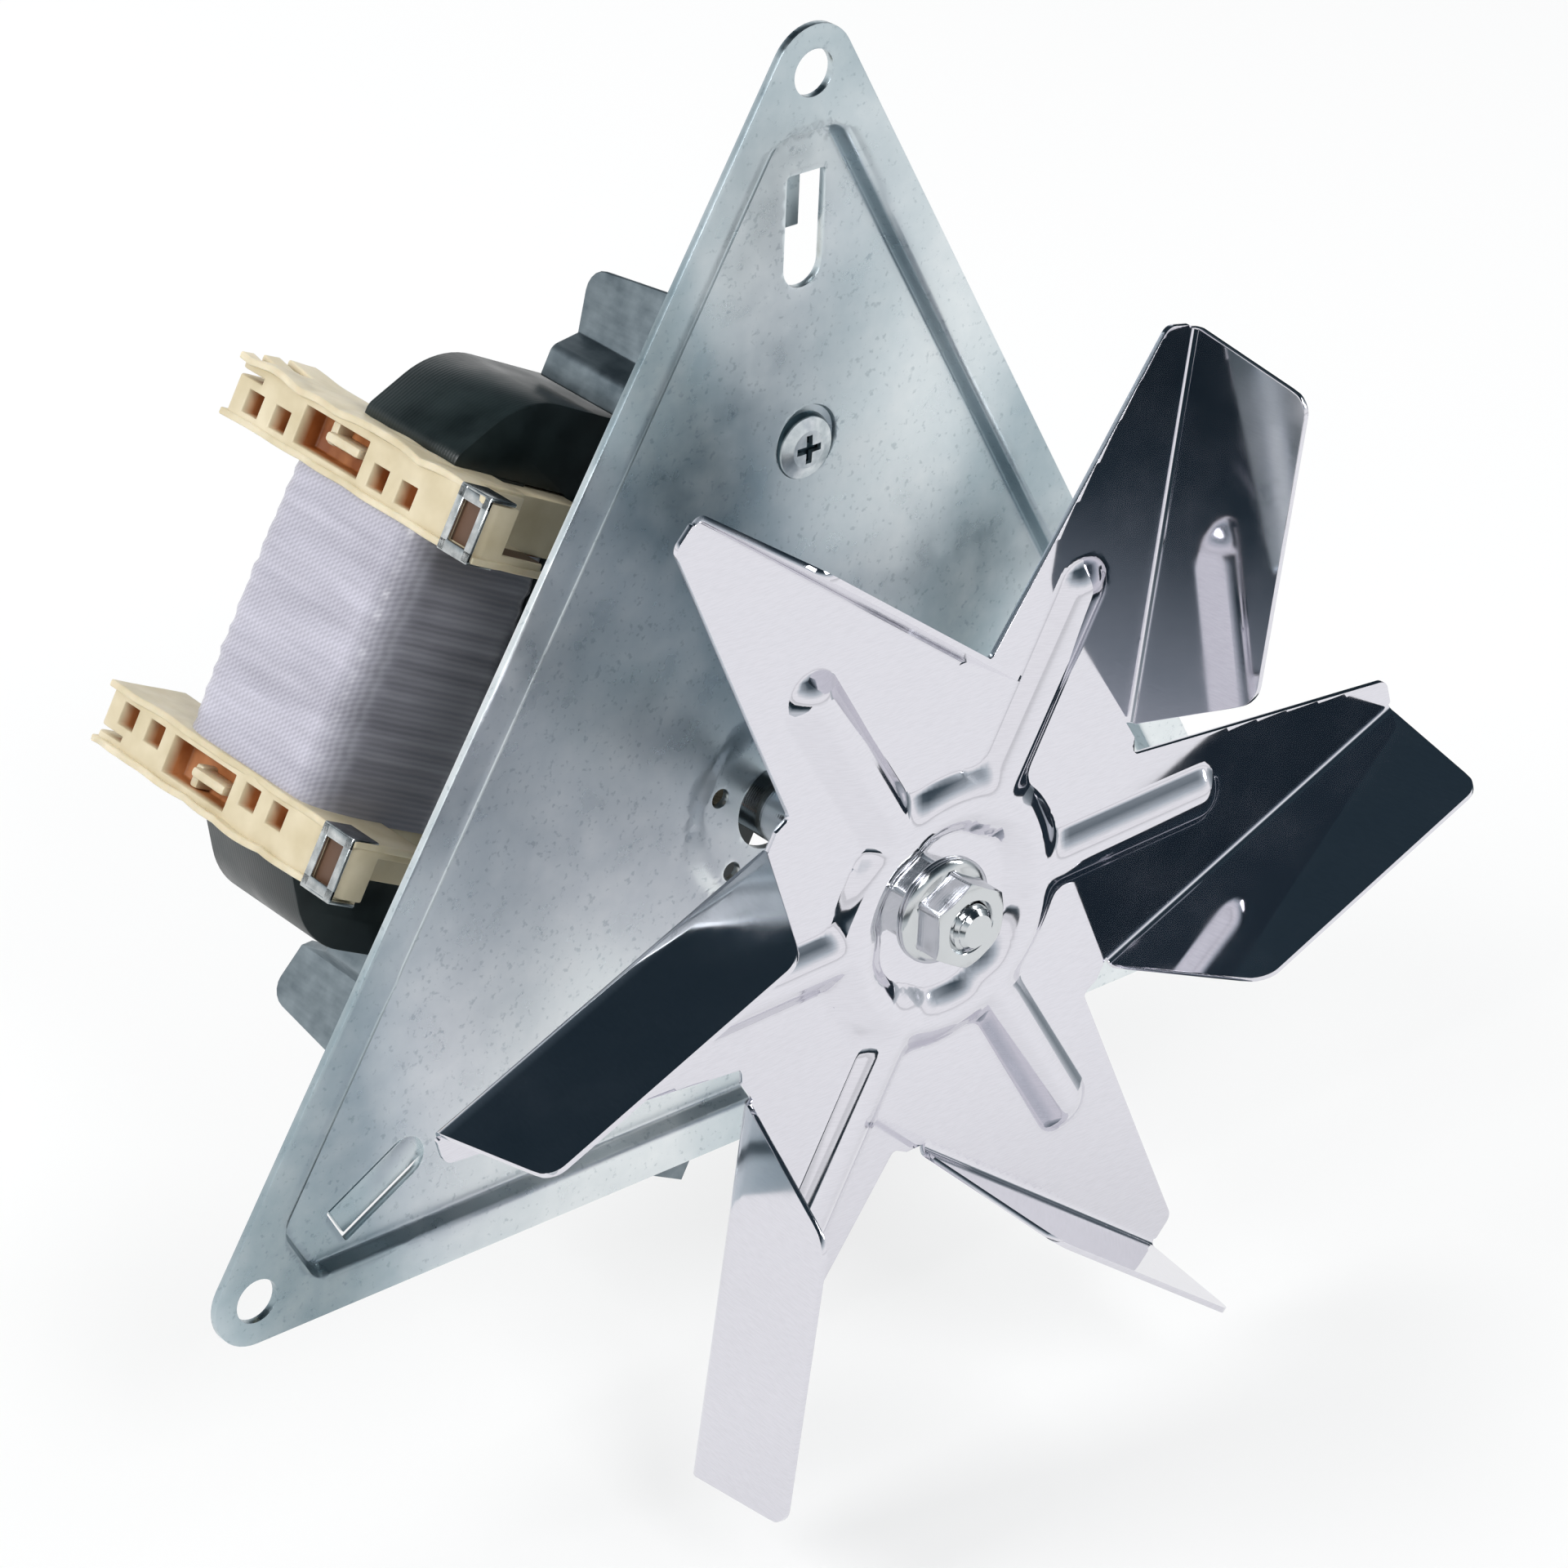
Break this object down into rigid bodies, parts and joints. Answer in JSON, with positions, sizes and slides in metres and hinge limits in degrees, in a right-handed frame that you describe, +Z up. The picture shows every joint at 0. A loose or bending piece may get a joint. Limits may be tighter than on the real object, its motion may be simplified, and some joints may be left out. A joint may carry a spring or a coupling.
{
  "type": "oven fan motor",
  "caption": "Shaded-pole motor on a triangular mounting plate, driving an open impeller of folded sheet blades.",
  "frame": {"origin": "centre of the circle through the plate's three corner holes, on the front face of the plate's rim", "axes": "+Z up towards the plate's top corner, -Y the way the fan faces, +X to the right seen from the fan"},
  "size_m": [0.1676, 0.1125, 0.1684],
  "materials": {
    "zinc_sheet": "zinc-plated, mottled satin",
    "bright_screw": "bright zinc",
    "dull_sheet": "dull zinc",
    "laminations": "black lacquer over laminations",
    "former_plastic": "moulded, satin",
    "copper_wire": "enamelled copper",
    "glass_tape": "woven glass tape",
    "tinned_strip": "tinned",
    "sintered_bronze": "sintered",
    "felt": "oiled felt",
    "ground_steel": "turned and ground",
    "cast_aluminium": "die cast",
    "washer_plastic": "moulded",
    "polished_sheet": "mirror-polished stainless"
  },
  "bodies": {
    "stator": {"mounting_plate": "zinc_sheet", "foot_screws": "bright_screw", "front_bridge": "dull_sheet", "stator_core": "laminations", "core_leg": "laminations", "coil_former": "former_plastic", "winding": "copper_wire", "coil_tape": "glass_tape", "terminal_clips": "tinned_strip", "shading_rings": "copper_wire", "rear_bridge": "dull_sheet", "front_bush": "sintered_bronze", "rear_bush": "sintered_bronze", "felt_rings": "felt", "clamp_screws": "bright_screw", "clamp_nuts": "bright_screw"},
    "rotor": {"shaft": "ground_steel", "rotor_core": "laminations", "rotor_cage": "cast_aluminium", "thrust_washers": "washer_plastic", "impeller": "polished_sheet", "impeller_washer": "ground_steel", "impeller_nut": "ground_steel"}
  },
  "joints": [
    {"name": "rotor_spin", "type": "hinge", "parent": "stator", "child": "rotor", "pos_m": [0, 0, -0.00565], "axis": [0, -1, 0], "continuous": true}
  ]
}
